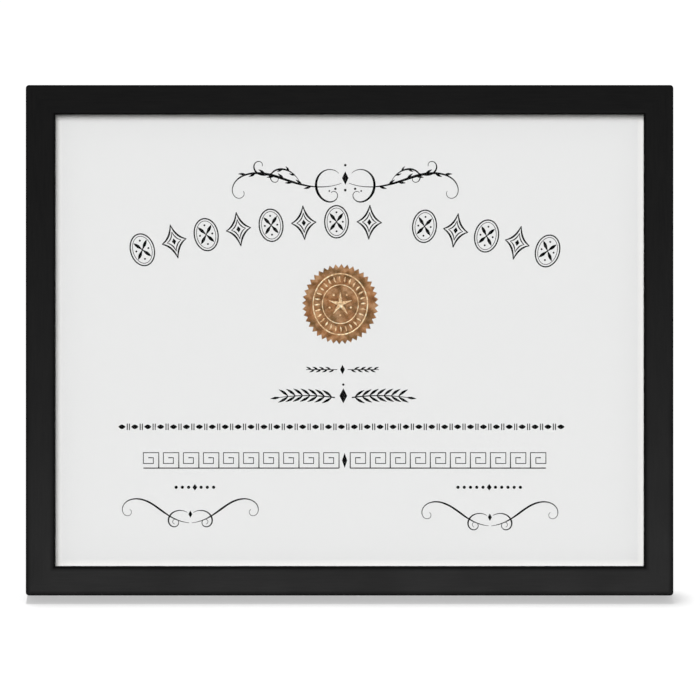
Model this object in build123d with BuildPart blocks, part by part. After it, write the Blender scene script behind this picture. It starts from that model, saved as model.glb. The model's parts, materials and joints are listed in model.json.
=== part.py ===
from build123d import *
from math import cos, pi, radians, sin, sqrt
import os

os.makedirs("parts", exist_ok=True)

# The document, and how far the lip laps over each of its edges
document_width = 279.4
document_height = 215.9
document_thickness = 0.3
lip_cover = 3.175

# The rails: face seen from the front, lip, rabbet behind it, and eased edges
rail_face = 13.5
lip_thickness = 6.0
rabbet_width = 5.0
corner_round = 1.5
face_arris = 0.8
sight_arris = 1.2
back_arris = 0.5

# The stack in the rabbet, from the front: glass, foil seal, document, pad, board, flock
glass_thickness = 2.0
seal_thickness = 0.15
pad_thickness = 3.0
backing_thickness = 3.0
flock_thickness = 0.35
plate_clearance = 0.8
back_recess = 0.2

# The serrated foil seal, placed from the middle of the document
seal_width = 35.0
seal_height = 36.8
seal_teeth = 40
tooth_depth = 1.6
seal_left_of_middle = 4.3
seal_above_middle = 16.8

# How the frame stands: back it leans, and how far its strut opens, in degrees
lean = 15.0
strut_opening = 30.0

# The strut
strut_thickness = 2.5
strut_top_width = 46.0
strut_foot_width = 28.0
strut_top_round = 6.0
strut_foot_round = 2.0
strut_edge_round = 0.5

# The strut's pressed steel hinge
pin_radius = 1.2
pin_clearance = 0.05
leaf_thickness = 0.8
knuckle_lift = 0.2
knuckle_gap = 0.3
end_knuckle_length = 8.0
middle_knuckle_length = 20.0
fixed_leaf_length = 20.0
fixed_leaf_top_width = 26.0
moving_leaf_length = 27.0
moving_leaf_width = 32.0
moving_leaf_tip_width = 20.0
moving_leaf_neck = 3.0
moving_leaf_shoulder = 4.0
leaf_corner_round = 3.0
stop_tail_width = 11.0
stop_tail_length = 8.0
stop_gap = 0.1
pin_head_radius = 1.7
pin_head_length = 0.8
pin_head_round = 0.5

# Rivets of the hinge
rivet_radius = 1.3
rivet_head_radius = 2.6
rivet_head_height = 1.0
rivet_head_round = 0.8
rivet_clinch_radius = 2.2
rivet_clinch_height = 0.4
clinch_gap = 0.1
rivet_clearance = 0.05
board_rivet_spread = 12.5
board_rivet_rise = 8.5
strut_rivet_spread = 9.5
strut_rivet_drop = 11.5
lower_rivet_drop = 21.5

# Turn buttons on the rail backs, and their screws
button_thickness = 0.9
button_pivot_radius = 3.5
button_tip_radius = 2.8
button_reach = 13.5
button_gap = 0.1
button_edge_round = 0.25
button_spread_share = 0.3
side_button_share = 0.72
screw_radius = 1.2
screw_clearance = 0.05
screw_length = 8.0
screw_point = 2.0
screw_point_radius = 0.3
screw_head_radius = 2.5
screw_head_height = 1.7
screw_head_round = 1.1
screw_slot_width = 0.6
screw_slot_length = 3.0
screw_slot_depth = 0.9

# Sawtooth hangers and their brads
hanger_length = 44.0
hanger_width = 7.6
hanger_thickness = 0.8
hanger_tab = 9.5
hanger_ramp = 1.5
hanger_rise = 1.4
hanger_tooth_count = 9
hanger_tooth_pitch = 2.2
hanger_tooth_depth = 1.3
tooth_land = 0.2
brad_radius = 0.6
brad_length = 9.0
brad_head_radius = 1.4
brad_head_height = 0.5
brad_clearance = 0.03

# V-nails across the mitres
v_nail_leg = 4.5
v_nail_thickness = 0.5
v_nail_depth = 7.0
v_nail_apex = 5.7

overrun = 1.0

# Depths behind the face, worked out down the stack
glass_back = lip_thickness + glass_thickness
document_front = glass_back + seal_thickness
document_back = document_front + document_thickness
pad_back = document_back + pad_thickness
backing_back = pad_back + backing_thickness
flock_back = backing_back + flock_thickness
rail_depth = flock_back + back_recess
rabbet_depth = rail_depth - lip_thickness

# Widths and heights, worked out from the document
sight_width = document_width - 2 * lip_cover
sight_height = document_height - 2 * lip_cover
outer_width = sight_width + 2 * rail_face
outer_height = sight_height + 2 * rail_face
rabbet_opening_width = sight_width + 2 * rabbet_width
rabbet_opening_height = sight_height + 2 * rabbet_width
plate_width = rabbet_opening_width - 2 * plate_clearance
plate_height = rabbet_opening_height - 2 * plate_clearance
back_land = rail_face - rabbet_width
land_middle = back_land / 2
knuckle_bore = pin_radius + pin_clearance
knuckle_radius = knuckle_bore + leaf_thickness
hinge_length = 2 * end_knuckle_length + middle_knuckle_length + 2 * knuckle_gap

# The face leans back: sideways is +X, up_face climbs it, rearward leaves its back
lean_angle = radians(lean)
sideways = Vector(1, 0, 0)
up_face = Vector(0, sin(lean_angle), cos(lean_angle))
rearward = Vector(0, cos(lean_angle), -sin(lean_angle))

# The hinge pin runs across a 45 degree strut, as far from the left edge as from the bottom,
# so that the same foot reaches the table with the frame on either edge
hinge_height = outer_height / 2
hinge_x = hinge_height - outer_width / 2
axis_depth = flock_back + knuckle_lift + knuckle_radius
to_corner = (sideways + up_face) * (-1 / sqrt(2))
along_pin = (sideways - up_face) * (1 / sqrt(2))
opening_angle = radians(strut_opening)
down_strut = to_corner * cos(opening_angle) + rearward * sin(opening_angle)
behind_strut = rearward * cos(opening_angle) - to_corner * sin(opening_angle)

# The table touches the rounded rear bottom edge of the rail and the strut's foot
edge_lift = back_arris * (cos(lean_angle) + sin(lean_angle) - 1)
face_height = rail_depth * sin(lean_angle) - edge_lift
strut_front = knuckle_bore - strut_thickness
hinge_from_face = sideways * hinge_x + up_face * hinge_height + rearward * axis_depth
foot_drop = face_height + hinge_from_face.Z + behind_strut.Z * strut_front
foot_slope = along_pin.Z / down_strut.Z
strut_length = foot_drop / -down_strut.Z
foot_back = hinge_from_face + down_strut * strut_length + behind_strut * knuckle_bore

face = Plane(
    origin=(0, -foot_back.Y / 2, face_height),
    x_dir=sideways,
    z_dir=rearward * -1,
)
rear_axis = Axis(face.origin, rearward)
frame_middle = (0, outer_height / 2)


def behind_face(depth):
    """The plane at this depth behind the face, drawn on as the viewer sees it."""
    return face.offset(-depth)


def point_at(x, height, depth):
    """A point from its place across and up the face and its depth behind it."""
    return face.origin + sideways * x + up_face * height + rearward * depth


# Turn buttons: name, pivot across and up the face, and the way each points
button_x = outer_width * button_spread_share
button_side_height = outer_height * side_button_share
side_pivot = outer_width / 2 - land_middle
top_pivot = outer_height - land_middle
buttons = {
    "turn_button_top_left": (-button_x, top_pivot, up_face * -1),
    "turn_button_top_right": (button_x, top_pivot, up_face * -1),
    "turn_button_bottom_left": (-button_x, land_middle, up_face),
    "turn_button_bottom_right": (button_x, land_middle, up_face),
    "turn_button_side_left": (-side_pivot, button_side_height, sideways),
    "turn_button_side_right": (side_pivot, button_side_height, sideways * -1),
}
button_front = rail_depth + button_gap
button_back = button_front + button_thickness
screw_seat = button_back + button_gap


def button_plane(name, depth):
    """The plane of one turn button at this depth, with X the way it points."""
    x, height, pointing = buttons[name]
    return Plane(origin=point_at(x, height, depth), x_dir=pointing, z_dir=rearward)


# Hangers: one for landscape on the top rail, one for portrait on the right rail
hanger_places = {
    "hanger_landscape": (0, top_pivot, sideways * -1),
    "hanger_portrait": (side_pivot, hinge_height, up_face),
}
brad_spread = hanger_length / 2 - hanger_tab / 2


def hanger_plane(name, depth):
    """The plane of one hanger at this depth, with X along its rail and Y outwards."""
    x, height, along_rail = hanger_places[name]
    return Plane(origin=point_at(x, height, depth), x_dir=along_rail, z_dir=rearward)


# V-nails, driven flush from the back across each mitre
corner_places = [
    Location((-outer_width / 2, 0), 0),
    Location((outer_width / 2, 0), 90),
    Location((outer_width / 2, outer_height), 180),
    Location((-outer_width / 2, outer_height), 270),
]
with BuildPart() as corner_v_nails:
    with BuildSketch(behind_face(rail_depth)):
        for place in corner_places:
            with Locations(place):
                with Locations((v_nail_apex, v_nail_apex)):
                    Rectangle(v_nail_leg, v_nail_thickness, align=(Align.MAX, Align.MAX))
                    Rectangle(v_nail_thickness, v_nail_leg, align=(Align.MAX, Align.MAX))
    extrude(amount=v_nail_depth)
corner_v_nails.part.label = "corner_v_nails"
export_step(corner_v_nails.part, "parts/corner_v_nails.step")

# Pilot holes for the button screws and the hanger brads
with BuildPart() as pilot_holes:
    for name in buttons:
        with BuildSketch(button_plane(name, rail_depth + overrun)):
            Circle(screw_radius + screw_clearance)
        extrude(amount=-overrun - screw_length)
    for name in hanger_places:
        with BuildSketch(hanger_plane(name, rail_depth + overrun)):
            with Locations((-brad_spread, 0), (brad_spread, 0)):
                Circle(brad_radius + brad_clearance)
        extrude(amount=-overrun - brad_length)

# The four rails, run as one moulding round the opening and then cut at the mitres
with BuildPart() as moulding:
    with BuildSketch(behind_face(rail_depth)) as outline:
        with Locations(frame_middle):
            Rectangle(outer_width, outer_height)
        fillet(outline.vertices(), radius=corner_round)
        with Locations(frame_middle):
            Rectangle(sight_width, sight_height, mode=Mode.SUBTRACT)
    extrude(amount=rail_depth)
    with BuildSketch(behind_face(rail_depth)):
        with Locations(frame_middle):
            Rectangle(rabbet_opening_width, rabbet_opening_height)
    extrude(amount=rabbet_depth, mode=Mode.SUBTRACT)
    rear_face = moulding.faces().sort_by(rear_axis)[-1]
    fillet(rear_face.outer_wire().edges(), radius=back_arris)
    front_face = moulding.faces().sort_by(rear_axis)[0]
    fillet(front_face.outer_wire().edges(), radius=face_arris)
    front_face = moulding.faces().sort_by(rear_axis)[0]
    fillet(front_face.inner_wires()[0].edges(), radius=sight_arris)
    add(corner_v_nails.part, mode=Mode.SUBTRACT)
    add(pilot_holes.part, mode=Mode.SUBTRACT)

left, right = -outer_width / 2, outer_width / 2
mitre_run = outer_height / 2
rail_outlines = {
    "top_rail": [
        (left, outer_height),
        (left + mitre_run, outer_height - mitre_run),
        (right - mitre_run, outer_height - mitre_run),
        (right, outer_height),
    ],
    "bottom_rail": [
        (left, 0),
        (right, 0),
        (right - mitre_run, mitre_run),
        (left + mitre_run, mitre_run),
    ],
    "left_rail": [(left, 0), (left + mitre_run, mitre_run), (left, outer_height)],
    "right_rail": [(right, 0), (right, outer_height), (right - mitre_run, mitre_run)],
}
for name, corners in rail_outlines.items():
    with BuildPart() as rail:
        add(moulding.part)
        with BuildSketch(behind_face(rail_depth)):
            with BuildLine():
                Polyline(*corners, close=True)
            make_face()
        extrude(amount=rail_depth, mode=Mode.INTERSECT)
    rail.part.label = name
    export_step(rail.part, f"parts/{name}.step")

# The plates sit on the floor of the rabbet, with their clearance above and at the sides
plate_middle = (0, outer_height / 2 - plate_clearance)

with BuildPart() as glass_pane:
    with BuildSketch(behind_face(glass_back)):
        with Locations(plate_middle):
            Rectangle(plate_width, plate_height)
    extrude(amount=glass_thickness)
glass_pane.part.label = "glass_pane"
export_step(glass_pane.part, "parts/glass_pane.step")

with BuildPart() as certificate_sheet:
    with BuildSketch(behind_face(document_back)):
        with Locations(frame_middle):
            Rectangle(document_width, document_height)
    extrude(amount=document_thickness)
certificate_sheet.part.label = "certificate_sheet"
export_step(certificate_sheet.part, "parts/certificate_sheet.step")

# The foil seal, stuck on the document, with a serrated edge
seal_x = -seal_left_of_middle
seal_y = outer_height / 2 + seal_above_middle
serration = []
for step in range(2 * seal_teeth):
    angle = pi * step / seal_teeth
    inset = tooth_depth * (step % 2)
    x = seal_x + (seal_width / 2 - inset) * sin(angle)
    y = seal_y + (seal_height / 2 - inset) * cos(angle)
    serration.append((x, y))
with BuildPart() as foil_seal:
    with BuildSketch(behind_face(document_front)):
        with BuildLine():
            Polyline(*serration, close=True)
        make_face()
    extrude(amount=seal_thickness)
foil_seal.part.label = "foil_seal"
export_step(foil_seal.part, "parts/foil_seal.step")

with BuildPart() as filler_pad:
    with BuildSketch(behind_face(pad_back)):
        with Locations(plate_middle):
            Rectangle(plate_width, plate_height)
    extrude(amount=pad_thickness)
filler_pad.part.label = "filler_pad"
export_step(filler_pad.part, "parts/filler_pad.step")

# Two planes on the hinge pin: one lies with the board, the other with the opened strut.
# X runs along the pin, Y down towards the foot and Z away from the face.
hinge_point = point_at(hinge_x, hinge_height, axis_depth)
board_plane = Plane(origin=hinge_point, x_dir=along_pin, z_dir=rearward)
strut_plane = Plane(origin=hinge_point, x_dir=along_pin, z_dir=behind_strut)
board_rivet_places = [(-board_rivet_spread, -board_rivet_rise), (board_rivet_spread, -board_rivet_rise)]
strut_rivet_places = [
    (-strut_rivet_spread, strut_rivet_drop),
    (strut_rivet_spread, strut_rivet_drop),
    (0, lower_rivet_drop),
]
leaf_floor = -(knuckle_radius + knuckle_lift)
backing_floor = leaf_floor - flock_thickness - backing_thickness
board_clinch_depth = rivet_clinch_height + clinch_gap

# The board that closes the back, and the flock glued over it
with BuildPart() as backing_board:
    with BuildSketch(behind_face(backing_back)):
        with Locations(plate_middle):
            Rectangle(plate_width, plate_height)
    extrude(amount=backing_thickness)
    with BuildSketch(board_plane.offset(backing_floor - overrun)):
        with Locations(*board_rivet_places):
            Circle(rivet_radius + rivet_clearance)
    extrude(amount=backing_thickness + 2 * overrun, mode=Mode.SUBTRACT)
    with BuildSketch(board_plane.offset(backing_floor)):
        with Locations(*board_rivet_places):
            Circle(rivet_clinch_radius + rivet_clearance)
    extrude(amount=board_clinch_depth, mode=Mode.SUBTRACT)
backing_board.part.label = "backing_board"
export_step(backing_board.part, "parts/backing_board.step")

with BuildPart() as backing_flock:
    with BuildSketch(behind_face(flock_back)):
        with Locations(plate_middle):
            Rectangle(plate_width, plate_height)
    extrude(amount=flock_thickness)
    with BuildSketch(board_plane.offset(leaf_floor - overrun)):
        with Locations(*board_rivet_places):
            Circle(rivet_radius + rivet_clearance)
    extrude(amount=2 * overrun, mode=Mode.SUBTRACT)
backing_flock.part.label = "backing_flock"
export_step(backing_flock.part, "parts/backing_flock.step")

# The hinge's fixed leaf: a plate on the board, notched round the middle knuckle
notch = knuckle_radius + knuckle_gap
with BuildPart() as hinge_fixed_leaf:
    with BuildSketch(board_plane.offset(leaf_floor)) as leaf_plan:
        with BuildLine():
            Polyline(
                (-hinge_length / 2, 0),
                (hinge_length / 2, 0),
                (hinge_length / 2, -board_rivet_rise),
                (fixed_leaf_top_width / 2, -fixed_leaf_length),
                (-fixed_leaf_top_width / 2, -fixed_leaf_length),
                (-hinge_length / 2, -board_rivet_rise),
                close=True,
            )
        make_face()
        fillet(leaf_plan.vertices().sort_by(Axis.Y)[:4], radius=leaf_corner_round)
        Rectangle(middle_knuckle_length + 2 * knuckle_gap, 2 * notch, mode=Mode.SUBTRACT)
        with Locations(*board_rivet_places):
            Circle(rivet_radius + rivet_clearance, mode=Mode.SUBTRACT)
    extrude(amount=leaf_thickness)
    for start in (-hinge_length / 2, hinge_length / 2 - end_knuckle_length):
        with BuildSketch(Plane(hinge_point + along_pin * start, x_dir=to_corner, z_dir=along_pin)):
            Circle(knuckle_radius)
        extrude(amount=end_knuckle_length)
    with BuildSketch(Plane(hinge_point, x_dir=to_corner, z_dir=along_pin)):
        Circle(knuckle_bore)
    extrude(amount=hinge_length, both=True, mode=Mode.SUBTRACT)
hinge_fixed_leaf.part.label = "hinge_fixed_leaf"
export_step(hinge_fixed_leaf.part, "parts/hinge_fixed_leaf.step")

# The moving leaf: its plate lies on the strut, and its tail stops against the fixed leaf
neck = middle_knuckle_length / 2
tail_floor = leaf_floor + leaf_thickness + stop_gap
with BuildPart() as hinge_moving_leaf:
    with BuildSketch(strut_plane.offset(knuckle_bore)) as plate_plan:
        with BuildLine():
            Polyline(
                (-neck, 0),
                (neck, 0),
                (neck, moving_leaf_neck),
                (moving_leaf_width / 2, moving_leaf_neck + moving_leaf_shoulder),
                (moving_leaf_width / 2, strut_rivet_drop),
                (moving_leaf_tip_width / 2, moving_leaf_length),
                (-moving_leaf_tip_width / 2, moving_leaf_length),
                (-moving_leaf_width / 2, strut_rivet_drop),
                (-moving_leaf_width / 2, moving_leaf_neck + moving_leaf_shoulder),
                (-neck, moving_leaf_neck),
                close=True,
            )
        make_face()
        fillet(plate_plan.vertices().sort_by(Axis.Y)[-2:], radius=leaf_corner_round)
        with Locations(*strut_rivet_places):
            Circle(rivet_radius + rivet_clearance, mode=Mode.SUBTRACT)
    extrude(amount=leaf_thickness)
    with BuildSketch(Plane(hinge_point, x_dir=to_corner, z_dir=along_pin)):
        Circle(knuckle_radius)
    extrude(amount=neck, both=True)
    with BuildSketch(board_plane.offset(tail_floor)):
        with Locations((0, -knuckle_bore)):
            Rectangle(stop_tail_width, stop_tail_length, align=(Align.CENTER, Align.MAX))
    extrude(amount=leaf_thickness)
    with BuildSketch(Plane(hinge_point, x_dir=to_corner, z_dir=along_pin)):
        Circle(knuckle_bore)
    extrude(amount=hinge_length, both=True, mode=Mode.SUBTRACT)
hinge_moving_leaf.part.label = "hinge_moving_leaf"
export_step(hinge_moving_leaf.part, "parts/hinge_moving_leaf.step")

# The hinge pin, with a peened head at each end
pin_end = hinge_length / 2 + pin_clearance
with BuildPart() as hinge_pin:
    with BuildSketch(Plane(hinge_point, x_dir=to_corner, z_dir=along_pin)):
        Circle(pin_radius)
    extrude(amount=pin_end, both=True)
    for end in (-1, 1):
        head_start = hinge_point + along_pin * (end * pin_end)
        with BuildSketch(Plane(head_start, x_dir=to_corner, z_dir=along_pin * end)):
            Circle(pin_head_radius)
        extrude(amount=pin_head_length)
    pin_axis = Axis(hinge_point, along_pin)
    end_faces = hinge_pin.faces().sort_by(pin_axis)
    fillet([end_faces[0].edge(), end_faces[-1].edge()], radius=pin_head_round)
hinge_pin.part.label = "hinge_pin"
export_step(hinge_pin.part, "parts/hinge_pin.step")

# The strut: a tapering board whose foot is cut so that either slope lies on the table
half_foot = strut_foot_width / 2
shoulder = strut_length - foot_slope * half_foot
strut_start = knuckle_radius + knuckle_gap
with BuildPart() as easel_strut:
    with BuildSketch(strut_plane.offset(strut_front)) as strut_plan:
        with BuildLine():
            Polyline(
                (-strut_top_width / 2, strut_start),
                (strut_top_width / 2, strut_start),
                (half_foot, shoulder),
                (0, strut_length),
                (-half_foot, shoulder),
                close=True,
            )
        make_face()
        corners = strut_plan.vertices().sort_by(Axis.Y)
        fillet(corners[:2], radius=strut_top_round)
        corners = strut_plan.vertices().sort_by(Axis.Y)
        fillet(corners[-3:], radius=strut_foot_round)
        with Locations(*strut_rivet_places):
            Circle(rivet_radius + rivet_clearance, mode=Mode.SUBTRACT)
    extrude(amount=strut_thickness)
    rear_of_strut = easel_strut.faces().sort_by(Axis(hinge_point, behind_strut))[-1]
    fillet(rear_of_strut.outer_wire().edges(), radius=strut_edge_round)
easel_strut.part.label = "easel_strut"
export_step(easel_strut.part, "parts/easel_strut.step")

# Rivets: a domed head on the leaf, a shank through the boards and a clinched end
rivet_sets = {
    "board_rivets": (
        board_plane.offset(leaf_floor + leaf_thickness),
        board_rivet_places,
        leaf_thickness + flock_thickness + backing_thickness - board_clinch_depth,
    ),
    "strut_rivets": (
        strut_plane.offset(knuckle_bore + leaf_thickness),
        strut_rivet_places,
        leaf_thickness + strut_thickness,
    ),
}
for name, (seat, places, grip) in rivet_sets.items():
    with BuildPart() as rivets:
        with BuildSketch(seat):
            with Locations(*places):
                Circle(rivet_head_radius)
        extrude(amount=rivet_head_height)
        head_tops = rivets.faces().sort_by(Axis(seat.origin, seat.z_dir))[-len(places):]
        fillet(head_tops.edges(), radius=rivet_head_round)
        with BuildSketch(seat):
            with Locations(*places):
                Circle(rivet_radius)
        extrude(amount=-grip)
        with BuildSketch(seat.offset(-grip)):
            with Locations(*places):
                Circle(rivet_clinch_radius)
        extrude(amount=-rivet_clinch_height)
    rivets.part.label = name
    export_step(rivets.part, f"parts/{name}.step")

# The turn buttons: a flat steel finger that swings over the board
button_tip = button_reach - button_tip_radius
for name in buttons:
    with BuildPart() as button:
        with BuildSketch(button_plane(name, button_front)) as finger:
            with BuildLine():
                pivot_end = CenterArc((0, 0), button_pivot_radius, 90, 180)
                tip_end = CenterArc((button_tip, 0), button_tip_radius, -90, 180)
                Line(pivot_end @ 1, tip_end @ 0)
                Line(tip_end @ 1, pivot_end @ 0)
            make_face()
            Circle(screw_radius + screw_clearance, mode=Mode.SUBTRACT)
        extrude(amount=button_thickness)
        top = button.faces().sort_by(rear_axis)[-1]
        fillet(top.outer_wire().edges(), radius=button_edge_round)
    button.part.label = name
    export_step(button.part, f"parts/{name}.step")

# Their pan-head screws, with a crossed recess and a point
shank_end = rail_depth - screw_length + screw_point
with BuildPart() as turn_button_screws:
    for name in buttons:
        with BuildSketch(button_plane(name, screw_seat)):
            Circle(screw_head_radius)
        extrude(amount=screw_head_height)
    tops = turn_button_screws.faces().sort_by(rear_axis)[-len(buttons):]
    fillet(tops.edges(), radius=screw_head_round)
    for name in buttons:
        with BuildSketch(button_plane(name, screw_seat)):
            Circle(screw_radius)
        extrude(amount=shank_end - screw_seat)
        with BuildSketch(button_plane(name, shank_end)):
            Circle(screw_radius)
        with BuildSketch(button_plane(name, rail_depth - screw_length)):
            Circle(screw_point_radius)
        loft()
        with BuildSketch(button_plane(name, screw_seat + screw_head_height)):
            Rectangle(screw_slot_length, screw_slot_width)
            Rectangle(screw_slot_width, screw_slot_length)
        extrude(amount=-screw_slot_depth, mode=Mode.SUBTRACT)
turn_button_screws.part.label = "turn_button_screws"
export_step(turn_button_screws.part, "parts/turn_button_screws.step")

# The sawtooth hangers: two flat tabs and a raised bridge toothed along its inner edge
bridge = hanger_length / 2 - hanger_tab
bridge_top = bridge - hanger_ramp
underside = [
    (-hanger_length / 2, 0),
    (-bridge, 0),
    (-bridge_top, hanger_rise),
    (bridge_top, hanger_rise),
    (bridge, 0),
    (hanger_length / 2, 0),
]
upper_side = [(x, height + hanger_thickness) for x, height in reversed(underside)]
for name in hanger_places:
    seat = hanger_plane(name, rail_depth)
    with BuildPart() as hanger:
        with BuildSketch(Plane(seat.origin, x_dir=seat.x_dir, z_dir=seat.y_dir * -1)):
            with BuildLine():
                Polyline(*underside, *upper_side, close=True)
            make_face()
        extrude(amount=hanger_width / 2, both=True)
        with BuildSketch(seat) as teeth:
            for tooth in range(hanger_tooth_count):
                middle = (tooth - (hanger_tooth_count - 1) / 2) * hanger_tooth_pitch
                half = (hanger_tooth_pitch - tooth_land) / 2
                with BuildLine():
                    Polyline(
                        (middle - half, -hanger_width / 2),
                        (middle + half, -hanger_width / 2),
                        (middle, -hanger_width / 2 + hanger_tooth_depth),
                        close=True,
                    )
                make_face()
        extrude(amount=hanger_rise + hanger_thickness, mode=Mode.SUBTRACT)
        with BuildSketch(seat):
            with Locations((-brad_spread, 0), (brad_spread, 0)):
                Circle(brad_radius + brad_clearance)
        extrude(amount=hanger_thickness, mode=Mode.SUBTRACT)
    hanger.part.label = name
    export_step(hanger.part, f"parts/{name}.step")

# The brads that nail the hangers down
with BuildPart() as hanger_brads:
    for name in hanger_places:
        with BuildSketch(hanger_plane(name, rail_depth + hanger_thickness)):
            with Locations((-brad_spread, 0), (brad_spread, 0)):
                Circle(brad_head_radius)
        extrude(amount=brad_head_height)
        with BuildSketch(hanger_plane(name, rail_depth + hanger_thickness)):
            with Locations((-brad_spread, 0), (brad_spread, 0)):
                Circle(brad_radius)
        extrude(amount=-brad_length)
    tops = hanger_brads.faces().sort_by(rear_axis)[-2 * len(hanger_places):]
    fillet(tops.edges(), radius=brad_head_height / 2)
hanger_brads.part.label = "hanger_brads"
export_step(hanger_brads.part, "parts/hanger_brads.step")
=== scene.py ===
import json
from math import atan2, cos, degrees, pi, radians, sin, tan

import bpy
from mathutils import Matrix, Vector

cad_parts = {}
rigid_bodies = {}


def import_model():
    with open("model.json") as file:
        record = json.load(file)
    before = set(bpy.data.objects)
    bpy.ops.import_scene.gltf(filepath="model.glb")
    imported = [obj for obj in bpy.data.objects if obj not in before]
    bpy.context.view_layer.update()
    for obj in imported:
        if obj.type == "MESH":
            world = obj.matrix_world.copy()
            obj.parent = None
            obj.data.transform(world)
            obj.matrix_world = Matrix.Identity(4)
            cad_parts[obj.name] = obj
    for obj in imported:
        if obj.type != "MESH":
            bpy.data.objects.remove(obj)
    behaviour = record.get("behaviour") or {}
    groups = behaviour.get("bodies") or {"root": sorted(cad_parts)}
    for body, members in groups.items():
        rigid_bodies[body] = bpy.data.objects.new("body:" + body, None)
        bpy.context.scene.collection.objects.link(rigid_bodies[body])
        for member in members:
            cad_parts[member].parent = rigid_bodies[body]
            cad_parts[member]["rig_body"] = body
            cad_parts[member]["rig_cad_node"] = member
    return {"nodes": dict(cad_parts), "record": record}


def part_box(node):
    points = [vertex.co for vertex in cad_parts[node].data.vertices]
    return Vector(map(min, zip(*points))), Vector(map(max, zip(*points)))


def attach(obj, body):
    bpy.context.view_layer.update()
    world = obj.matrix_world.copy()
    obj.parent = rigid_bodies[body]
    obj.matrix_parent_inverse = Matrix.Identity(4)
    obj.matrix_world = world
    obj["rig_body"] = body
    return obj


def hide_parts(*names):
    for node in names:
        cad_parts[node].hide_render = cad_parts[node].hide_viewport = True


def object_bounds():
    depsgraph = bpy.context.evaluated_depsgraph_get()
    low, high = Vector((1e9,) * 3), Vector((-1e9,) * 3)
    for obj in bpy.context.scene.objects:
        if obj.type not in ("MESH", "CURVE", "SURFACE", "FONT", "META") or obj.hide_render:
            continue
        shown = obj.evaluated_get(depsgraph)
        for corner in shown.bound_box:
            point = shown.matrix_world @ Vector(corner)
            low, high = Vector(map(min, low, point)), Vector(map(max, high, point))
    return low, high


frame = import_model()
cad_box = [list(corner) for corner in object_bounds()]
bpy.ops.object.select_all(action="DESELECT")

# The four rails of the frame: one close-grained wooden moulding, cut at 45 degrees and
# joined at the corners, then sprayed with satin black lacquer that lets the grain print
# through a little. They are the frame's own solids with this finish.
mm = 0.001
rail_face = 13.5 * mm
opening_width = 273.05 * mm
opening_height = 209.55 * mm
dull_strip = 2.4 * mm

nodes = frame["nodes"]
sideways = Vector((1, 0, 0))
stands_on = next(mount for mount in frame["record"]["mounts"] if mount["name"] == "bottom_edge")
up_face = Vector(stands_on["axis"]) * -1
to_viewer = sideways.cross(up_face)
face_turn = Matrix((sideways, up_face, to_viewer)).transposed()


def middle_of(node):
    """The middle of a solid's box."""
    low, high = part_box(node)
    return (low + high) / 2


def finish(name):
    """A new material's node tree and its shader."""
    material = bpy.data.materials.new(name)
    material.use_nodes = True
    return material.node_tree, material.node_tree.nodes["Principled BSDF"]


def set_socket(tree, socket, value):
    """Links a socket to another node's output, or sets it to a plain value."""
    if isinstance(value, bpy.types.NodeSocket):
        tree.links.new(value, socket)
    else:
        socket.default_value = value


def set_looks(tree, shader, **looks):
    """Sets or links the shader's inputs; a name's underscores stand for spaces."""
    for name, value in looks.items():
        set_socket(tree, shader.inputs[name.replace("_", " ")], value)


def add_node(tree, kind, inputs, **settings):
    """Adds a node, sets or links its inputs by name or number, and gives back its output."""
    node = tree.nodes.new(kind)
    for name, value in settings.items():
        setattr(node, name, value)
    for name, value in inputs.items():
        set_socket(tree, node.inputs[name], value)
    return next(output for output in node.outputs if output.enabled)


def on_face(tree, stretch=(1, 1, 1)):
    """Places on the leaning frame, from its middle: X across, Y up, Z to the viewer."""
    places = tree.nodes.new("ShaderNodeTexCoord").outputs["Object"]
    inputs = {
        "Vector": places,
        "Location": middle_of("certificate_sheet"),
        "Rotation": face_turn.to_euler(),
        "Scale": stretch,
    }
    return add_node(tree, "ShaderNodeMapping", inputs, vector_type="TEXTURE")


def mottle(tree, places, size, detail=2.0, roughness=0.5):
    """Cloudy noise whose patches are about this size in metres."""
    inputs = {"Vector": places, "Scale": 1 / size, "Detail": detail, "Roughness": roughness}
    return add_node(tree, "ShaderNodeTexNoise", inputs)


def graded(tree, amount, low, high, start=0.35, end=0.65):
    """Turns an amount from start to end into a number from low to high."""
    inputs = {"Value": amount, "From Min": start, "From Max": end, "To Min": low, "To Max": high}
    return add_node(tree, "ShaderNodeMapRange", inputs)


def tinted(tree, amount, *colours, start=0.35, end=0.65):
    """Turns an amount from start to end into a colour that runs through these ones."""
    ramp = tree.nodes.new("ShaderNodeValToRGB")
    tree.links.new(amount, ramp.inputs["Fac"])
    stops = ramp.color_ramp.elements
    while len(stops) < len(colours):
        stops.new(0.5)
    for number, colour in enumerate(colours):
        stops[number].position = start + (end - start) * number / (len(colours) - 1)
        stops[number].color = (*colour, 1)
    return ramp.outputs["Color"]


def raised(tree, height, depth, under=None):
    """A bump of this depth in metres, over another one where there is one."""
    inputs = {"Height": height, "Distance": depth}
    if under is not None:
        inputs["Normal"] = under
    return add_node(tree, "ShaderNodeBump", inputs)


def worked_out(tree, operation, *amounts):
    """One step of arithmetic on numbers or sockets."""
    return add_node(tree, "ShaderNodeMath", dict(enumerate(amounts)), operation=operation)


def place_on_face(tree, direction):
    """How far a point lies from the frame's middle line, across (X) or up and down (Y)."""
    split = tree.nodes.new("ShaderNodeSeparateXYZ")
    tree.links.new(on_face(tree), split.inputs["Vector"])
    return worked_out(tree, "ABSOLUTE", split.outputs[direction])


def dress(piece, name):
    """Gives a piece or a solid the finish of this name, in place of any other."""
    piece.data.materials.clear()
    piece.data.materials.append(bpy.data.materials[name])


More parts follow.
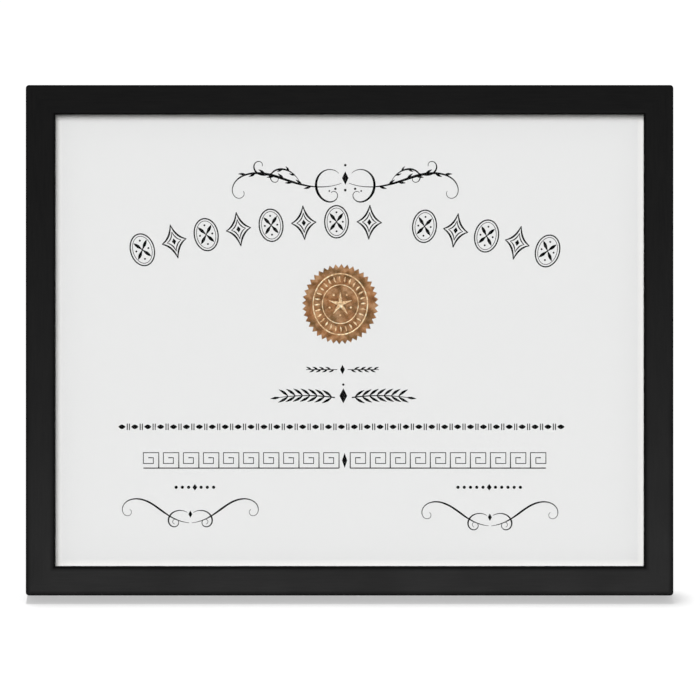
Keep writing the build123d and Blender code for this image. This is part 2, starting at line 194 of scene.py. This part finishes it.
def black_lacquer(name, stretch, direction, rail_middle):
    """Satin black lacquer over grain that runs the way it is stretched. It lies thin and
    dull along both edges of a rail whose middle is this far from the frame's middle."""
    tree, shader = finish(name)
    grain = mottle(tree, on_face(tree, stretch), 0.5 * mm, detail=3.0)
    spray = mottle(tree, on_face(tree), 0.35 * mm)
    cloud = mottle(tree, on_face(tree), 30 * mm)
    off_middle = worked_out(tree, "SUBTRACT", place_on_face(tree, direction), rail_middle)
    to_edge = worked_out(tree, "ABSOLUTE", off_middle)
    edge = rail_face / 2
    dull_edge = graded(tree, to_edge, 0.0, 0.3, start=edge - dull_strip, end=edge)
    set_looks(
        tree,
        shader,
        Base_Color=tinted(tree, grain, (0.0016, 0.0016, 0.0017), (0.0035, 0.0034, 0.0033)),
        Roughness=worked_out(tree, "ADD", graded(tree, cloud, 0.37, 0.43), dull_edge),
        Specular_IOR_Level=0.03,
        Normal=raised(tree, grain, 0.012 * mm, raised(tree, spray, 0.003 * mm)),
    )


black_lacquer("lacquer_along_width", (24, 1, 1), "Y", (opening_height + rail_face) / 2)
black_lacquer("lacquer_along_height", (1, 24, 1), "X", (opening_width + rail_face) / 2)
dress(nodes["top_rail"], "lacquer_along_width")
dress(nodes["bottom_rail"], "lacquer_along_width")
dress(nodes["left_rail"], "lacquer_along_height")
dress(nodes["right_rail"], "lacquer_along_height")

# The V-nails, which pull the mitres together: pressed from plain steel strip and driven
# in flush from the back, so only their edges show.


def near_edge(tree, radius):
    """Nought on a flat face, rising to one where the surface turns within this radius."""
    rounded = add_node(tree, "ShaderNodeBevel", {"Radius": radius}, samples=6)
    flat = tree.nodes.new("ShaderNodeNewGeometry").outputs["True Normal"]
    likeness = add_node(tree, "ShaderNodeVectorMath", {0: rounded, 1: flat}, operation="DOT_PRODUCT")
    return graded(tree, likeness, 1.0, 0.0, start=0.86, end=0.99)


def blend(tree, amount, under, over):
    """One colour over another, by this amount."""
    factor_and_colours = {0: amount, 6: under, 7: over}
    return add_node(tree, "ShaderNodeMix", factor_and_colours, data_type="RGBA")


tree, shader = finish("plain_steel")
scuffs = mottle(tree, on_face(tree), 0.6 * mm, detail=4.0)
steel = tinted(tree, scuffs, (0.22, 0.22, 0.23), (0.42, 0.42, 0.43))
set_looks(
    tree,
    shader,
    # Painted highlight: the steel is painted much brighter where its surface turns at an edge,
    # partly as edge wear.
    Base_Color=blend(tree, near_edge(tree, 0.12 * mm), steel, (0.66, 0.66, 0.67, 1)),
    Metallic=1.0,
    Roughness=graded(tree, scuffs, 0.28, 0.45),
)
dress(nodes["corner_v_nails"], "plain_steel")

# The glass: one clear 2 mm pane with a thin coat against glare, loose in the rabbet
# behind the lip. Seen square on it hardly reflects, and at a slant it gleams as glass does.
square_on_gleam = 0.003
tree, shader = finish("pane_glass")
tree.nodes.remove(shader)
slant = tree.nodes.new("ShaderNodeLayerWeight")
slant.inputs["Blend"].default_value = 0.5
steep = worked_out(tree, "POWER", slant.outputs["Facing"], 5.0)
gleam = graded(tree, steep, square_on_gleam, 1.0, start=0.0, end=1.0)
clear = add_node(tree, "ShaderNodeBsdfTransparent", {"Color": (0.993, 0.994, 0.993, 1)})
mirror = add_node(tree, "ShaderNodeBsdfGlossy", {"Roughness": 0.0})
pane = add_node(tree, "ShaderNodeMixShader", {0: gleam, 1: clear, 2: mirror})
tree.links.new(pane, tree.nodes["Material Output"].inputs["Surface"])
dress(nodes["glass_pane"], "pane_glass")

# The certificate: smooth card with a pale grey tint printed over it, which fades out
# towards the edges. The bare border shows as a warm white line beside the lip.
document_width = 279.4 * mm
document_height = 215.9 * mm
card_thickness = 0.3 * mm
bare_border = 3.4 * mm
fade = 3.0 * mm
tree, shader = finish("tinted_card")


def tint_left(tree, direction, half_size):
    """How much of the tint is left: one over the sheet, falling to nought at its border."""
    end = half_size - bare_border
    return graded(tree, place_on_face(tree, direction), 1.0, 0.0, start=end - fade, end=end)


across = tint_left(tree, "X", document_width / 2)
upright = tint_left(tree, "Y", document_height / 2)
fibres = mottle(tree, on_face(tree), 0.9 * mm, detail=5.0, roughness=0.65)
bare_card = tinted(tree, fibres, (0.97, 0.96, 0.94), (0.99, 0.98, 0.965))
tint = tinted(tree, fibres, (0.8, 0.8, 0.802), (0.83, 0.83, 0.828))
set_looks(
    tree,
    shader,
    Base_Color=blend(tree, worked_out(tree, "MULTIPLY", across, upright), bare_card, tint),
    Roughness=graded(tree, fibres, 0.62, 0.74),
    Specular_IOR_Level=0.1,
    Normal=raised(tree, fibres, 0.006 * mm),
)
dress(nodes["certificate_sheet"], "tinted_card")

# The print on the card: ornament in raised black ink, drawn with a broad pen and laid out
# in rows like those of a certificate. The strokes' places, lengths and widths are in
# millimetres, and their headings in degrees.
ink_rise = 0.02 * mm
hairline = 0.05
straight = (0, 0)
sheet_front = middle_of("certificate_sheet") + to_viewer * (card_thickness / 2)


def value_at(values, share):
    """The value at this share of the way along a list of evenly spaced ones."""
    place = share * (len(values) - 1)
    before = min(int(place), len(values) - 2)
    return values[before] + (values[before + 1] - values[before]) * (place - before)


def pen(start, heading, length, bends, widths, steps):
    """A pen stroke as points (x, y, width). It sets off at a heading, and its bend in
    degrees per millimetre and its width pass through the values given."""
    x, y = start
    angle = radians(heading)
    points = []
    for step in range(steps + 1):
        points.append((x, y, value_at(widths, step / steps)))
        angle += radians(value_at(bends, (step + 0.5) / steps)) * length / steps
        x += cos(angle) * length / steps
        y += sin(angle) * length / steps
    return points


def mirrored(strokes):
    """The strokes and their mirror image to the left."""
    return strokes + [[(-x, y, width) for x, y, width in points] for points in strokes]


def moved(strokes, x_shift, y_shift, turn=0.0):
    """The strokes, turned by an angle and then moved."""
    cosine, sine = cos(radians(turn)), sin(radians(turn))
    return [
        [(x_shift + x * cosine - y * sine, y_shift + x * sine + y * cosine, w) for x, y, w in points]
        for points in strokes
    ]


def dot(x, y, size):
    """A round full stop of ink."""
    turns = [pi * step / 8 for step in range(9)]
    return [(x - size / 2 * cos(turn), y, max(hairline, size * sin(turn))) for turn in turns]


def lozenge(x, y, width, height):
    """A solid lozenge."""
    return [(x - width / 2, y, hairline), (x, y, height), (x + width / 2, y, hairline)]


def stand(piece, place):
    """Tips a piece that was made flat on X and Y to the frame's lean, and moves it there."""
    piece.matrix_world = Matrix.Translation(place) @ face_turn.to_4x4()
    bpy.ops.object.select_all(action="DESELECT")
    bpy.context.view_layer.objects.active = piece
    piece.select_set(True)
    bpy.ops.object.transform_apply(location=True, rotation=True, scale=True)


def lay(name, strokes, rise, place, resolution=0):
    """Makes the strokes one closed mesh, this much proud of the surface that it lies on."""
    curve = bpy.data.curves.new(name, "CURVE")
    curve.dimensions = "3D"
    curve.twist_mode = "Z_UP"
    curve.bevel_depth = mm / 2
    curve.bevel_resolution = resolution
    curve.use_fill_caps = True
    for points in strokes:
        spline = curve.splines.new("POLY")
        spline.points.add(len(points) - 1)
        for point, (x, y, width) in zip(spline.points, points):
            point.co = (x * mm, y * mm, 0, 1)
            point.radius = width
    piece = bpy.data.objects.new(name, curve)
    bpy.context.collection.objects.link(piece)
    bpy.ops.object.select_all(action="DESELECT")
    bpy.context.view_layer.objects.active = piece
    piece.select_set(True)
    bpy.ops.object.convert(target="MESH")
    piece = bpy.context.view_layer.objects.active
    for vertex in piece.data.vertices:
        side = (vertex.co.z > mm / 1000) - (vertex.co.z < -mm / 1000)
        vertex.co.z = rise * (1 + side) / 2
    stand(piece, place)
    return piece


tree, shader = finish("black_ink")
density = mottle(tree, on_face(tree), 0.4 * mm, detail=3.0)
set_looks(
    tree,
    shader,
    Base_Color=tinted(tree, density, (0.0015, 0.0015, 0.0016), (0.005, 0.005, 0.0052)),
    Roughness=graded(tree, density, 0.5, 0.65),
    Specular_IOR_Level=0.03,
)


def print_row(name, strokes, x, y):
    """Prints one row of ornament at this place from the document's middle."""
    row = lay(name, moved(strokes, x, y), ink_rise, sheet_front)
    bpy.ops.object.shade_flat()
    dress(row, "black_ink")
    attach(row, "frame")


def leaves_on(stem, first, last, every, size, spread):
    """Leaves on alternate sides of a stem, at these of its points and this angle to it."""
    widths = [share * size for share in (0.07, 0.24, 0.3, 0.18, 0.04)]
    leaves = []
    for number in range(first, last, every):
        (x, y, _), (next_x, next_y, _) = stem[number], stem[number + 1]
        side = 1 if (number - first) // every % 2 else -1
        heading = degrees(atan2(next_y - y, next_x - x)) + side * spread
        leaves.append(pen((x, y), heading, size, (-side * 9, -side * 2), widths, 10))
    return leaves


# The top row: on each side a leafy stem, a loop beside the middle, and two curls.
stem_bends = (2.4, 1.8, 1.0, -1.2, -3.4, -9, -30)
loop_bends = (-11.5, -9.5, -8, -6, -8.5, -18, -40)
upper_bends = (-4.4, -5.4, -7.4, -13, -28, -50)
lower_bends = (6, 9, 13, 24, 40)
swell = (0.2, 0.45, 1.0, 1.25, 0.85, 0.4, 0.25)
stem = pen((1.8, -2.4), -22, 66, stem_bends, swell, 74)
loop = pen((3.0, 2.2), 52, 36, loop_bends, swell, 64)
upper_curl = pen((21.5, -1.3), 62, 25, upper_bends, (0.2, 0.5, 0.9, 0.65, 0.35, 0.25), 46)
lower_curl = pen((33.0, 3.2), -42, 19, lower_bends, (0.2, 0.55, 0.8, 0.45, 0.25), 40)
flourish = [stem, loop, upper_curl, lower_curl, dot(4.6, -5.0, 1.1), dot(7.4, -6.0, 0.8)]
flourish += leaves_on(stem, first=16, last=54, every=5, size=3.6, spread=38)
flourish += leaves_on(upper_curl, first=6, last=24, every=6, size=2.8, spread=38)
flourish = mirrored(flourish) + [lozenge(0, 0, 3.0, 6.2), dot(0, 6.0, 1.2), dot(0, -5.6, 1.2)]
print_row("title_flourish", flourish, x=-2.0, y=75.4)


def concave_lozenge(width, height, thickness, drawn_in=0.56, steps=14):
    """The outline of a lozenge whose sides are drawn in by this share."""
    strokes = []
    for right in (1, -1):
        for up in (1, -1):
            side = []
            for step in range(steps + 1):
                share = step / steps
                x = width / 2 * (1 - share) * (1 - drawn_in * share)
                y = height / 2 * share * (1 - drawn_in * (1 - share))
                side.append((right * x, up * y, thickness * (0.6 + 0.9 * sin(pi * share))))
            strokes.append(side)
    return strokes


def ring(width, height, thickness, steps=48):
    """The outline of an oval."""
    turns = [2 * pi * step / steps for step in range(steps + 1)]
    return [(width / 2 * cos(turn), height / 2 * sin(turn), thickness) for turn in turns]


# The frieze: stars and flowers by turns, in two groups along an arch.
star_motif = concave_lozenge(11.6, 16.0, 0.58) + concave_lozenge(6.8, 9.4, 0.36)
star_motif.append(lozenge(0, 0, 2.0, 3.0))
flower_motif = [ring(11.0, 15.0, 0.6), ring(8.8, 12.8, 0.28)]
for heading in (52, 128, 232, 308):
    flower_motif.append(pen((0, 0), heading, 5.0, straight, (0.3, 0.8, 1.5, 1.2, 0.2), 12))
for x, y in ((2.9, 0), (0, 4.4), (-2.9, 0), (0, -4.4)):
    flower_motif.append(dot(x, y, 0.9))
arch_radius = 340.0
frieze = []
for first, pitch, count in ((-94.4, 15.24, 8), (38.0, 14.6, 5)):
    for number in range(count):
        turn = (first + pitch * number) / arch_radius
        motif = star_motif if number % 2 else flower_motif
        x, y = arch_radius * sin(turn), arch_radius * (cos(turn) - 1)
        frieze += moved(motif, x, y, -degrees(turn))
print_row("arched_frieze", frieze, x=-3.1, y=55.1)

# Below the seal: a rule of two sprigs, and a bolder pair of laurel branches.
twig = pen((2.4, 0), 0, 14.5, straight, (0.3, 0.45, 0.3), 29)
twig_leaves = leaves_on(twig, first=3, last=27, every=3, size=2.8, spread=36)
sprig = mirrored([twig] + twig_leaves) + [lozenge(0, 0, 2.2, 4.4)]
print_row("sprig_rule", sprig, x=-3.3, y=-13.6)

branch = pen((3.9, -1.2), 8, 25.6, (-0.6, -0.6), (0.6, 0.5, 0.3), 53)
end_leaf = pen(branch[-1][:2], -8, 4.6, straight, (0.2, 0.9, 1.2, 0.7, 0.1), 10)
leaf_widths = (0.2, 0.9, 1.25, 0.8, 0.12)
laurel = [branch, end_leaf]
for number in range(3, 50, 7):
    for side in (1, -1):
        heading, bends = side * 47 + 3, (-side * 6, -side * 2)
        laurel.append(pen(branch[number][:2], heading, 5.5, bends, leaf_widths, 12))
laurel = mirrored(laurel) + [lozenge(0, -0.4, 3.6, 7.0), dot(0, 4.8, 1.1)]
print_row("laurel_row", laurel, x=-2.9, y=-25.4)

# A row of beads with two upright bars between them.
bead_pitch = 6.0
bead_length = 3.2
bead_widths = (0.3, 1.6, 2.2, 1.6, 0.3)
bar_height = 3.0
last_bead = 17
beading = []
for number in range(-last_bead, last_bead + 1):
    x = number * bead_pitch
    beading.append(pen((x - bead_length / 2, 0), 0, bead_length, straight, bead_widths, 10))
    if number < last_bead:
        for bar in (-0.5, 0.5):
            foot = (x + bead_pitch / 2 + bar, -bar_height / 2)
            beading.append(pen(foot, 90, bar_height, straight, (0.46, 0.46), 2))
print_row("bead_row", beading, x=-3.8, y=-40.2)

# A band of square hooks on a base line, drawn on a grid of cells.
cell = 1.79
key_line = 0.52
key_pitch = 5.2 * cell
first_key = 2.6
hook = [(0, -2), (0, 2), (4, 2), (4, -0.8), (1.4, -0.8), (1.4, 0.7), (2.7, 0.7)]
keys = []
for number in range(10):
    left = first_key + number * key_pitch
    keys.append([(left + x * cell, y * cell, key_line) for x, y in hook])
keys.append([(first_key, -2 * cell, key_line), (left + 4 * cell, -2 * cell, key_line)])
print_row("key_band", mirrored(keys) + [lozenge(0, 0, 2.4, 7.0)], x=-2.3, y=-55.8)

# At the foot: a short dotted rule on each side, with a scroll below it.
dot_pitch = 2.9
for side, x, count in (("left", -71.9, 3), ("right", 64.9, 5)):
    dots = [lozenge(0, 0, 2.2, 3.0)]
    for number in range(1, count + 1):
        dots += [dot(dot_pitch * number, 0, 1.5), dot(-dot_pitch * number, 0, 1.5)]
    print_row(f"dotted_rule_{side}", dots, x, y=-68.3)

sweep_bends = (3.2, 2.6, 0.2, -3.4, -7, -16, -42)
sweep = pen((0.6, -3.4), 4, 45, sweep_bends, (0.2, 0.5, 0.9, 0.8, 0.52, 0.32, 0.22), 60)
curl = pen((1.4, 1.4), 34, 25, (-9, -9, -13, -22, -34, -56), (0.2, 0.5, 0.75, 0.5, 0.3, 0.22), 50)
scroll = mirrored([sweep, curl]) + [lozenge(0, 0.6, 1.8, 3.4)]
print_row("scroll_left", scroll, x=-74.0, y=-81.4)
print_row("scroll_right", scroll, x=65.2, y=-82.8)

# The seal: thin bronze-gold foil, die-cut with a serrated edge, embossed from behind and
# stuck to the card. Its raised rings, leaves and star are painted lighter than the ground: a painted
# highlight on the relief.
seal_teeth = 40
seal_width = 35.6 * mm
seal_height = 37.4 * mm
seal_turn = -1.75
tooth_depth = 1.7 * mm
flat_rim = 0.6 * tooth_depth
dome_slope = 0.8 * mm
foil_thickness = 0.04 * mm
emboss = 0.1 * mm
solid_thickness = 0.15 * mm
seal_back = middle_of("foil_seal") - to_viewer * (solid_thickness / 2)

bpy.ops.mesh.primitive_circle_add(vertices=2 * seal_teeth, radius=1, fill_type="NGON")
seal = bpy.context.active_object
seal.name = "embossed_seal"
seal.rotation_euler.z = radians(seal_turn)
bpy.ops.object.transform_apply(rotation=True)
seal.scale = (seal_width / 2, seal_height / 2, 1)
bpy.ops.object.transform_apply(scale=True)
for number, vertex in enumerate(seal.data.vertices):
    if number % 2:
        vertex.co *= 1 - tooth_depth / (seal_width / 2)
bpy.ops.object.mode_set(mode="EDIT")
bpy.ops.mesh.select_all(action="SELECT")
bpy.ops.mesh.inset(thickness=flat_rim, depth=0)
bpy.ops.mesh.inset(thickness=dome_slope, depth=foil_thickness / 2)
bpy.ops.mesh.poke()
bpy.ops.mesh.select_all(action="SELECT")
bpy.ops.mesh.extrude_region_move(TRANSFORM_OT_translate={"value": (0, 0, foil_thickness)})
bpy.ops.mesh.select_all(action="SELECT")
bpy.ops.mesh.normals_make_consistent(inside=False)
bpy.ops.object.mode_set(mode="OBJECT")
stand(seal, seal_back)

ring_leaves = 28
ring_leaf_widths = (0.2, 0.75, 0.9, 0.55, 0.15)
star_points = 5
seal_lines = [ring(25.3, 28.3, 0.66, steps=96), ring(16.7, 18.0, 0.44, steps=72)]
for number in range(ring_leaves):
    turn = 2 * pi * number / ring_leaves
    foot = (9.5 * cos(turn), 10.4 * sin(turn))
    seal_lines.append(pen(foot, degrees(turn) + 24, 2.6, (-12, -12), ring_leaf_widths, 8))
for number in range(star_points):
    turn = pi / 2 + 2 * pi * number / star_points
    seal_lines.append(pen((0, 0), degrees(turn), 5.6, straight, (1.6, 1.9, 1.3, 0.7, 0.1), 8))
    between = turn + pi / star_points
    seal_lines.append(dot(5.2 * cos(between), 5.2 * sin(between), 1.0))
ridges = lay("seal_ridges", seal_lines, emboss, seal_back + to_viewer * foil_thickness, resolution=1)

tree, shader = finish("pressed_foil")
blotches = mottle(tree, on_face(tree), 3.5 * mm, detail=3.0)
hue = mottle(tree, on_face(tree), 7 * mm)
crinkle = mottle(tree, on_face(tree), 0.5 * mm, detail=3.0)
bronze = tinted(tree, blotches, (0.14, 0.075, 0.03), (0.25, 0.14, 0.065), (0.42, 0.26, 0.15))
ruddy = tinted(tree, blotches, (0.2, 0.075, 0.03), (0.34, 0.15, 0.06), (0.5, 0.27, 0.13))
set_looks(
    tree,
    shader,
    Base_Color=blend(tree, graded(tree, hue, 0.0, 1.0), bronze, ruddy),
    Metallic=1.0,
    Roughness=graded(tree, crinkle, 0.3, 0.45),
    Normal=raised(tree, crinkle, 0.03 * mm),
)
dress(seal, "pressed_foil")
# Painted highlight: the raised rings, leaves and star get a lighter gold than the ground, standing
# in for light caught on the relief.
tree, shader = finish("foil_painted_highlight")
ridge_mottle = mottle(tree, on_face(tree), 1.2 * mm)
set_looks(
    tree,
    shader,
    Base_Color=tinted(tree, ridge_mottle, (0.62, 0.38, 0.2), (0.95, 0.7, 0.42), (1.0, 0.92, 0.68)),
    Metallic=1.0,
    Roughness=graded(tree, ridge_mottle, 0.3, 0.4),
)
dress(ridges, "foil_painted_highlight")
for piece in (seal, ridges):
    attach(piece, "frame")
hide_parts("foil_seal")

# The filler pad: brown corrugated card, cut to the rabbet, which presses the document
# against the glass. Two flat liners are glued to a waved sheet whose flutes run up the frame.
pad_width = 281.45 * mm
pad_height = 217.95 * mm
pad_thickness = 3.0 * mm
liner_thickness = 0.35 * mm
wave_thickness = 0.25 * mm
flutes = 44
facets_per_flute = 8
liner_level = (pad_thickness - liner_thickness) / 2
wave_depth = (pad_thickness - 2 * liner_thickness - wave_thickness) / 2


def card_sheet(level, thickness, columns, wave):
    """One sheet of the pad, flat or waved, centred on this level."""
    bpy.ops.object.select_all(action="DESELECT")
    bpy.ops.mesh.primitive_grid_add(x_subdivisions=columns, y_subdivisions=1, size=1)
    sheet = bpy.context.active_object
    sheet.scale = (pad_width, pad_height, 1)
    bpy.ops.object.transform_apply(scale=True)
    for vertex in sheet.data.vertices:
        turn = 2 * pi * flutes * (vertex.co.x / pad_width + 0.5)
        vertex.co.z = level + wave * cos(turn)
    body = sheet.modifiers.new("card", "SOLIDIFY")
    body.thickness = thickness
    body.offset = 0
    bpy.ops.object.modifier_apply(modifier=body.name)
    return sheet


sheets = [
    card_sheet(liner_level, liner_thickness, columns=1, wave=0),
    card_sheet(-liner_level, liner_thickness, columns=1, wave=0),
    card_sheet(0, wave_thickness, columns=flutes * facets_per_flute, wave=wave_depth),
]
for sheet in sheets:
    sheet.select_set(True)
bpy.ops.object.join()
pad = bpy.context.active_object
pad.name = "corrugated_pad"
stand(pad, middle_of("filler_pad"))
tree, shader = finish("fluted_card")
pulp = mottle(tree, on_face(tree, (1, 8, 1)), 0.7 * mm, detail=5.0)
set_looks(
    tree,
    shader,
    Base_Color=tinted(tree, pulp, (0.36, 0.23, 0.12), (0.5, 0.34, 0.2)),
    Roughness=0.85,
    Normal=raised(tree, pulp, 0.05 * mm),
)
dress(pad, "fluted_card")
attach(pad, "frame")
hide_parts("filler_pad")

# The backing board, which closes the back: raw fibreboard with a skin of short black
# flock glued over its rear face.
tree, shader = finish("bare_fibreboard")
fluff = mottle(tree, on_face(tree), 0.35 * mm, detail=6.0, roughness=0.7)
set_looks(
    tree,
    shader,
    Base_Color=tinted(tree, fluff, (0.22, 0.125, 0.06), (0.36, 0.22, 0.115), (0.46, 0.3, 0.17)),
    Roughness=0.9,
    Normal=raised(tree, fluff, 0.06 * mm),
)
dress(nodes["backing_board"], "bare_fibreboard")

tree, shader = finish("short_flock")
pile = mottle(tree, on_face(tree), 0.25 * mm, detail=4.0, roughness=0.7)
stroked = mottle(tree, on_face(tree, (3, 1, 1)), 18 * mm, detail=3.0)
set_looks(
    tree,
    shader,
    Base_Color=tinted(tree, stroked, (0.011, 0.011, 0.012), (0.024, 0.024, 0.025)),
    Roughness=0.95,
    Sheen_Weight=0.35,
    Sheen_Roughness=0.4,
    Normal=raised(tree, pile, 0.12 * mm),
)
dress(nodes["backing_flock"], "short_flock")

# The strut's hinge: two nickel-plated leaves curled round a pin, riveted to the board and
# to the strut. A tail on the moving leaf stops against the fixed one.
tree, shader = finish("nickel_plate")
rolled = mottle(tree, on_face(tree, (10, 1, 1)), 0.4 * mm, detail=3.0)
stain = mottle(tree, on_face(tree), 9 * mm, detail=3.0)
nickel = tinted(tree, stain, (0.4, 0.38, 0.35), (0.5, 0.48, 0.45))
set_looks(
    tree,
    shader,
    # Painted highlight: the nickel is painted near white where its surface turns at an edge, partly
    # as edge wear.
    Base_Color=blend(tree, near_edge(tree, 0.25 * mm), nickel, (0.86, 0.84, 0.79, 1)),
    Metallic=1.0,
    Roughness=graded(tree, rolled, 0.22, 0.36),
    Normal=raised(tree, rolled, 0.006 * mm),
)
for name in ("hinge_fixed_leaf", "hinge_moving_leaf", "hinge_pin", "board_rivets", "strut_rivets"):
    dress(nodes[name], "nickel_plate")

# The easel strut: the same fibreboard, covered with flock on both faces before it is cut
# out, so that its edges are bare. It is a copy of its solid, freed of the solid's marks.
bpy.ops.object.select_all(action="DESELECT")
strut = nodes["easel_strut"].copy()
strut.data = nodes["easel_strut"].data.copy()
strut.name = "flocked_strut"
strut.parent = None
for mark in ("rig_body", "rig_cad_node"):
    del strut[mark]
bpy.context.collection.objects.link(strut)
bpy.context.view_layer.objects.active = strut
strut.select_set(True)
bpy.ops.object.mode_set(mode="EDIT")
bpy.ops.mesh.select_all(action="SELECT")
bpy.ops.mesh.remove_doubles(threshold=mm / 1000)
bpy.ops.mesh.tris_convert_to_quads()
bpy.ops.object.mode_set(mode="OBJECT")
bpy.ops.object.shade_smooth_by_angle(angle=radians(30))
dress(strut, "short_flock")
strut.data.materials.append(bpy.data.materials["bare_fibreboard"])
broad_face = max(strut.data.polygons, key=lambda face: face.area)
for face in strut.data.polygons:
    is_edge = abs(face.normal.dot(broad_face.normal)) < 0.3
    face.material_index = 1 if is_edge else 0
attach(strut, "strut")
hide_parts("easel_strut")

# The turn buttons, flat nickelled fingers that hold the board in, and the zinc-plated
# pan-head screws that they swivel on.
for name in nodes:
    if name.startswith("turn_button_") and name != "turn_button_screws":
        dress(nodes[name], "nickel_plate")

tree, shader = finish("zinc_plate")
spangle = mottle(tree, on_face(tree), 3 * mm, detail=3.0)
drawn = mottle(tree, on_face(tree, (12, 1, 1)), 0.4 * mm, detail=3.0)
zinc = tinted(tree, spangle, (0.3, 0.32, 0.345), (0.36, 0.38, 0.405), (0.43, 0.45, 0.475))
set_looks(
    tree,
    shader,
    # Painted highlight: the zinc is painted pale where its surface turns at an edge, partly as edge
    # wear.
    Base_Color=blend(tree, near_edge(tree, 0.2 * mm), zinc, (0.78, 0.8, 0.83, 1)),
    Metallic=1.0,
    Roughness=graded(tree, drawn, 0.24, 0.42),
    Normal=raised(tree, drawn, 0.01 * mm),
)
dress(nodes["turn_button_screws"], "zinc_plate")

# The sawtooth hangers, pressed from zinc-plated strip, one for each way up, and the
# bright steel brads that nail them to the rails.
dress(nodes["hanger_landscape"], "zinc_plate")
dress(nodes["hanger_portrait"], "zinc_plate")
dress(nodes["hanger_brads"], "plain_steel")

# The studio: a wide white floor, soft lamps and the camera. None of it is part of the
# frame. The floor and the sky show white, and throw less light on the frame than that.
floor_width = 60.0
bpy.ops.mesh.primitive_plane_add(size=floor_width, location=(0, 0, cad_box[0][2]))
floor = bpy.context.active_object
floor.name = "studio_floor"
tree, shader = finish("white_floor")


def seen_rays(tree):
    """One for rays from the camera, in gloss and through glass, and nought for light."""
    rays = tree.nodes.new("ShaderNodeLightPath").outputs
    gloss = worked_out(tree, "MAXIMUM", rays["Is Glossy Ray"], rays["Is Transmission Ray"])
    return worked_out(tree, "MAXIMUM", rays["Is Camera Ray"], gloss)


seen = seen_rays(tree)
set_looks(
    tree,
    shader,
    Base_Color=blend(tree, seen, (0.2, 0.2, 0.2, 1), (0.8, 0.8, 0.8, 1)),
    Roughness=0.9,
    Specular_IOR_Level=0.0,
    Emission_Color=(1, 1, 1, 1),
    Emission_Strength=graded(tree, seen, 0.0, 0.47, start=0.0, end=1.0),
)
dress(floor, "white_floor")

world = bpy.data.worlds.new("studio")
bpy.context.scene.world = world
world.use_nodes = True
tree = world.node_tree
sky = tree.nodes["Background"]
sky_strength = graded(tree, seen_rays(tree), 0.24, 1.0, start=0.0, end=1.0)
set_looks(tree, sky, Color=(1, 1, 1, 1), Strength=sky_strength)


def soft_sun(name, towards, spread, strength):
    """A broad lamp a long way off."""
    bpy.ops.object.light_add(type="SUN", rotation=towards.to_track_quat("Z", "Y").to_euler())
    lamp = bpy.context.active_object
    lamp.name = name
    lamp.data.angle = radians(spread)
    lamp.data.energy = strength
    return lamp


def from_face(up, left):
    """The way out from the face, tilted by these angles up it and to its left."""
    return to_viewer + up_face * tan(radians(up)) - sideways * tan(radians(left))


# The front and back lamps light the frame and leave the floor alone, so the shadow on it
# is the top lamp's: narrow, and close under the bottom rail.
front_lamp = soft_sun("front_lamp", from_face(up=13, left=6), spread=26, strength=2.62)
back_lamp = soft_sun("back_lamp", Vector((0.35, 1, 0.55)), spread=40, strength=2.0)
top_lamp = soft_sun("top_lamp", Vector((-0.02, 0.272, 1)), spread=3.5, strength=1.6)
all_but_floor = bpy.data.collections.new("all_but_floor")
all_but_floor.objects.link(floor)
all_but_floor.collection_objects[0].light_linking.link_state = "EXCLUDE"
for lamp in (front_lamp, back_lamp):
    lamp.light_linking.receiver_collection = all_but_floor
for lamp in (front_lamp, back_lamp, top_lamp):
    lamp.visible_glossy = False


def only_on(lamp, pieces):
    """Lets a lamp add gloss to these pieces and do nothing else."""
    lamp.visible_diffuse = False
    lamp.visible_camera = False
    lit = bpy.data.collections.new(lamp.name + "_pieces")
    for piece in pieces:
        lit.objects.link(piece)
    lamp.light_linking.receiver_collection = lit


metals = [nodes[name] for name in nodes if name.startswith(("hinge", "hanger", "turn", "corner"))]
metals += [nodes["board_rivets"], nodes["strut_rivets"], seal, ridges]
glint_lamp = soft_sun("metal_glint_lamp", from_face(up=38, left=25), spread=14, strength=0.88)
back_glint_lamp = soft_sun("back_glint_lamp", Vector((0.5, 1, 0.3)), spread=14, strength=0.8)
only_on(glint_lamp, metals)
only_on(back_glint_lamp, metals)

# A strip lamp below the camera, whose gloss fades from the bottom rail to the top one.
strip_width = 1.2
strip_height = 0.22
strip_away = 1.2
strip_below = 0.37
strip_right = 0.1
strip_power = 48
strip_place = middle_of("certificate_sheet") + to_viewer * strip_away
strip_place += sideways * strip_right - up_face * strip_below
facing_frame = to_viewer.to_track_quat("Z", "Y").to_euler()
bpy.ops.object.light_add(type="AREA", location=strip_place, rotation=facing_frame)
strip_lamp = bpy.context.active_object
strip_lamp.name = "rail_glint_lamp"
strip_lamp.data.shape = "RECTANGLE"
strip_lamp.data.size = strip_width
strip_lamp.data.size_y = strip_height
strip_lamp.data.energy = strip_power
only_on(strip_lamp, [nodes[name] for name in ("top_rail", "bottom_rail", "left_rail", "right_rail")])

photo_pixels = 700
pixels_per_mm = 2.1517
sensor = 36.0
camera_distance = 2.5
aim_below = 4.5 * mm
aim_right = 0.2 * mm
aim = middle_of("certificate_sheet") - up_face * aim_below + sideways * aim_right
camera_place = aim + to_viewer * camera_distance
bpy.ops.object.camera_add(location=camera_place, rotation=facing_frame)
camera = bpy.context.active_object
camera.data.sensor_width = sensor
camera.data.lens = sensor * camera_distance / (photo_pixels / pixels_per_mm * mm)
bpy.context.scene.camera = camera
bpy.context.scene.view_settings.view_transform = "Standard"
